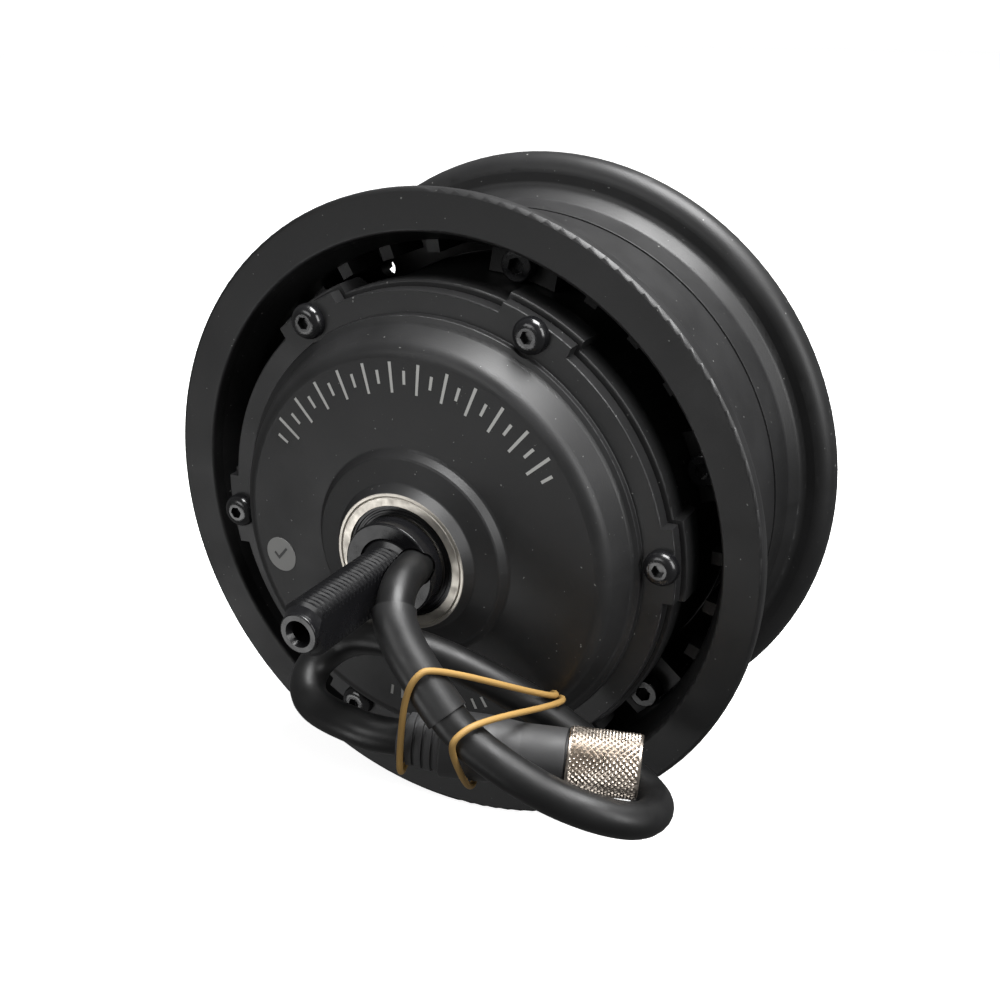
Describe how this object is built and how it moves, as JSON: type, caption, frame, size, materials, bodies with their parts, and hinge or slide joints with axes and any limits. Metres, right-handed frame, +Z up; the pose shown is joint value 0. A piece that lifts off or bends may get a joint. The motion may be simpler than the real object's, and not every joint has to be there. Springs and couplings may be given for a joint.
{
  "type": "hub motor wheel",
  "caption": "Scooter hub motor built into a split flanged rim, with a threaded double-flat axle and a motor cable ending in a round screw-locked plug.",
  "frame": {"origin": "on the axle's centreline, midway between its two ends", "axes": "+Y along the axle from the cable side to the brake side, +Z up, wheel spins about Y"},
  "size_m": [0.176, 0.2, 0.176],
  "materials": {
    "black_paint": "satin",
    "black_steel": "glossy",
    "black_screws": "satin",
    "bearing_steel": "turned",
    "polished_steel": "polished",
    "pressed_steel": "satin",
    "seal_rubber": "matte",
    "bare_aluminium": "as cast",
    "electrical_steel": "satin",
    "copper": "enamelled",
    "circuit_board": "satin",
    "lead_jacket": "matte",
    "cable_jacket": "satin",
    "connector_rubber": "satin",
    "contact_insert": "satin",
    "contact_brass": "bright",
    "nickel": "knurled",
    "gasket_paper": "matte",
    "magnet_plating": "satin",
    "sticker": "matte",
    "band_rubber": "satin"
  },
  "bodies": {
    "root": {"axle": "black_steel", "axle_collar_near": "black_steel", "axle_collar_far": "black_steel", "bearing_inner_ring_near": "bearing_steel", "bearing_inner_ring_far": "bearing_steel", "stator_hub": "bare_aluminium", "stator_core": "electrical_steel", "stator_windings": "copper", "hall_sensor_board": "circuit_board", "phase_leads": "lead_jacket", "motor_cable": "cable_jacket", "connector_boot": "connector_rubber", "connector_body": "connector_rubber", "connector_insert": "contact_insert", "connector_contacts": "contact_brass", "rubber_bands": "band_rubber", "cable_sleeve": "cable_jacket"},
    "wheel": {"rim_near_flange": "black_paint", "rim_near_barrel": "black_paint", "rim_far_flange": "black_paint", "rim_far_barrel": "black_paint", "rim_seal_ring": "seal_rubber", "rim_bolts_near": "black_screws", "rim_bolts_far": "black_screws", "rotor_drum": "black_paint", "flux_ring": "electrical_steel", "rotor_magnets": "magnet_plating", "cover_near": "black_paint", "cover_far": "black_paint", "cover_gasket_near": "gasket_paper", "cover_gasket_far": "gasket_paper", "cover_screws_near": "black_screws", "cover_screws_far": "black_screws", "bearing_outer_ring_near": "bearing_steel", "bearing_outer_ring_far": "bearing_steel", "bearing_seals_near": "seal_rubber", "bearing_seals_far": "seal_rubber", "inspection_sticker": "sticker"},
    "ball_set_near": {"bearing_balls_near": "polished_steel", "bearing_cage_near": "pressed_steel"},
    "ball_set_far": {"bearing_balls_far": "polished_steel", "bearing_cage_far": "pressed_steel"},
    "connector_nut": {"connector_nut": "nickel"}
  },
  "joints": [
    {"name": "wheel_spin", "type": "hinge", "parent": "root", "child": "wheel", "pos_m": [0, 0, 0], "axis": [0, 1, 0], "continuous": true},
    {"name": "ball_set_near_spin", "type": "hinge", "parent": "root", "child": "ball_set_near", "pos_m": [0, -0.051, 0], "axis": [0, 1, 0], "continuous": true},
    {"name": "ball_set_far_spin", "type": "hinge", "parent": "root", "child": "ball_set_far", "pos_m": [0, 0.051, 0], "axis": [0, 1, 0], "continuous": true},
    {"name": "plug_nut_turn", "type": "hinge", "parent": "root", "child": "connector_nut", "pos_m": [0.06093, -0.0644, -0.03817], "axis": [0.9372, 0.3393, -0.0808], "continuous": true}
  ],
  "couplings": [
    {"joint": "ball_set_near_spin", "follows": "wheel_spin", "ratio": 0.5915},
    {"joint": "ball_set_far_spin", "follows": "wheel_spin", "ratio": 0.5915}
  ]
}
